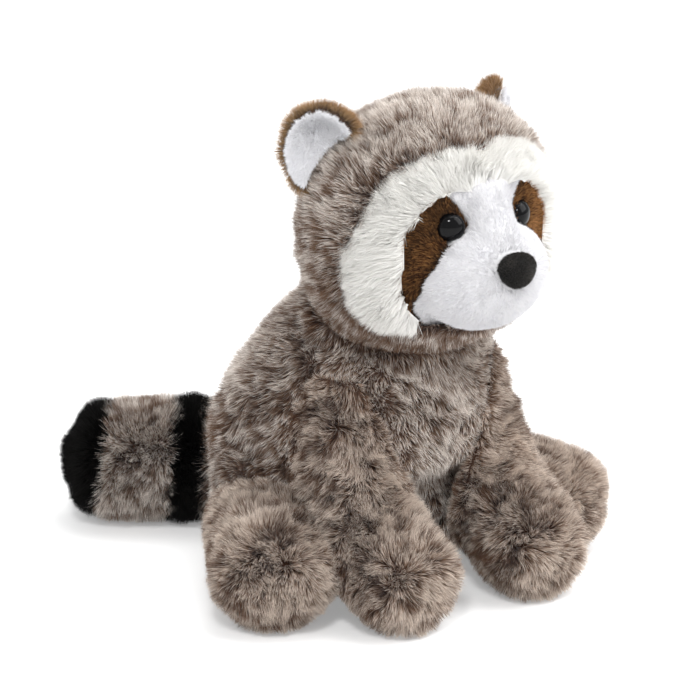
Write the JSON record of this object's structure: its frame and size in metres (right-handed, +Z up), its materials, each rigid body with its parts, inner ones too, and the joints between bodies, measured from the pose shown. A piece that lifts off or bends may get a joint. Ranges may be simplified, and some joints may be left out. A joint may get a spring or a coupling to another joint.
{
  "type": "plush raccoon",
  "caption": "Seated plush raccoon with frosted grey pile, a white ruff, dark eye patches, glossy eyes and a banded tail bent to its right; it rests on its flat seat.",
  "frame": {"origin": "on the floor at the middle of the flat seat under the torso", "axes": "+Z up; the raccoon faces -Y, so its own right side is at -X"},
  "size_m": [0.2264, 0.2666, 0.2434],
  "materials": {
    "grey_pile": "long frosted taupe faux-fur pile with dark roots and pale tips",
    "white_pile": "long warm white faux-fur pile",
    "white_plush": "short white plush",
    "brown_plush": "short dark brown plush with golden glints",
    "tan_pile": "short tan-brown pile with paler tips",
    "black_pile": "black faux-fur pile",
    "nose_velour": "black velour",
    "eye_black": "glossy black plastic",
    "washer": "pale moulded plastic"
  },
  "bodies": {
    "root": {"torso": "grey_pile", "head": "grey_pile", "ruff_left": "white_pile", "ruff_right": "white_pile", "eye_patch_left": "brown_plush", "eye_patch_right": "brown_plush", "muzzle": "white_plush", "nose": "nose_velour", "eye_left": "eye_black", "eye_right": "eye_black", "eye_washer_left": "washer", "eye_washer_right": "washer", "ear_back_left": "tan_pile", "ear_back_right": "tan_pile", "ear_lining_left": "white_plush", "ear_lining_right": "white_plush", "arm_left": "grey_pile", "arm_right": "grey_pile", "leg_left": "grey_pile", "leg_right": "grey_pile", "tail_base": "grey_pile", "tail_dark_band": "black_pile", "tail_pale_band": "grey_pile", "tail_tip": "black_pile"}
  },
  "joints": []
}
